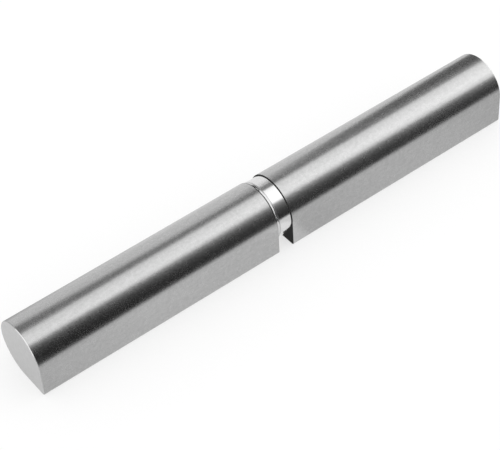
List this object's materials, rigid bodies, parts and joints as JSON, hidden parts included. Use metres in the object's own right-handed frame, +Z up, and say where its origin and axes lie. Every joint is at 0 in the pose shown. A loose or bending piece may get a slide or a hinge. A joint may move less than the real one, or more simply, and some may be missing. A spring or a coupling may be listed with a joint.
{
  "type": "weld-on hinge",
  "caption": "Steel lift-off pin hinge for welding, in round bar with a square nose: a fixed knuckle with a pin, a spacer ring and a door knuckle that turns and lifts off.",
  "frame": {"origin": "on the hinge axis, at the middle of the ring, which is also the middle of the whole hinge", "axes": "+X along the hinge axis from the frame knuckle to the door knuckle; +Z up, square to the lower weld flat, which faces -Z; the front weld flat faces -Y"},
  "size_m": [0.14, 0.016, 0.016],
  "materials": {
    "knuckle_steel": "bright drawn stainless steel, satin, with fine draw lines along the bar",
    "pin_steel": "ground stainless steel, smooth",
    "ring_steel": "turned stainless steel, near polished"
  },
  "bodies": {
    "frame": {"frame_knuckle": "knuckle_steel", "pin": "pin_steel"},
    "ring": {"ring": "ring_steel"},
    "door": {"door_knuckle": "knuckle_steel"}
  },
  "joints": [
    {"name": "hinge_turn", "type": "hinge", "parent": "frame", "child": "ring", "pos_m": [0, 0, 0], "axis": [1, 0, 0], "continuous": true},
    {"name": "lift_off", "type": "slide", "parent": "ring", "child": "door", "axis": [1, 0, 0], "range_m": [0, 0.0402]}
  ]
}
